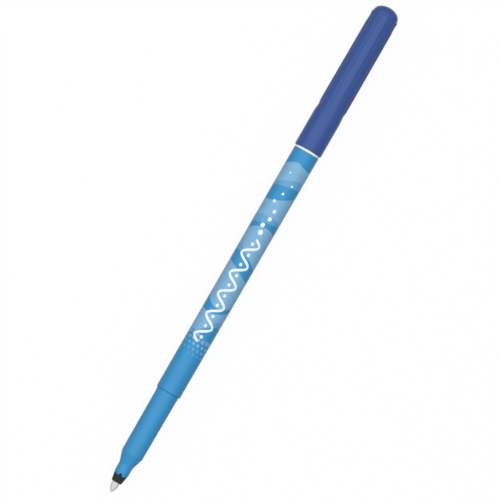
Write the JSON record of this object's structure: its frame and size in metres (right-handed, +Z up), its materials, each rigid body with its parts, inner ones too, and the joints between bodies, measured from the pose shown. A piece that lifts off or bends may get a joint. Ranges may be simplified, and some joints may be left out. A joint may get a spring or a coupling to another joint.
{
  "type": "ink eradicator pen",
  "caption": "Slim fibre-tip ink eradicator pen with a ribbed, vented cap pushed onto the plug at its rear end.",
  "frame": {"origin": "bottom centre of the whole pen as it lies with its cap posted, under the middle of its length", "axes": "+X along the pen from the nib towards the closed end of the cap, +Z up with one cap rib on top, +Y across"},
  "size_m": [0.1764, 0.0094, 0.0094],
  "materials": {
    "nib_fibre": "pressed white polyester fibre, dry and matt",
    "collar_black": "moulded black plastic, soft gloss",
    "section_blue": "moulded sky blue polypropylene, satin",
    "barrel_blue": "moulded sky blue polypropylene with a printed pattern, satin",
    "core_fibre": "soaked off-white fibre rod",
    "film_clear": "clear film sleeve",
    "plug_white": "moulded white polypropylene",
    "cap_blue": "moulded dark blue polypropylene, satin",
    "seal_white": "moulded white polyethylene"
  },
  "bodies": {
    "pen": {"nib": "nib_fibre", "nib_collar": "collar_black", "grip_section": "section_blue", "barrel": "barrel_blue", "reservoir_core": "core_fibre", "reservoir_film": "film_clear", "end_plug": "plug_white"},
    "cap": {"cap_shell": "cap_blue", "cap_seal": "seal_white"}
  },
  "joints": [
    {"name": "cap_pull", "type": "slide", "parent": "pen", "child": "cap", "axis": [1, 0, 0], "range_m": [0, 0.02]}
  ]
}
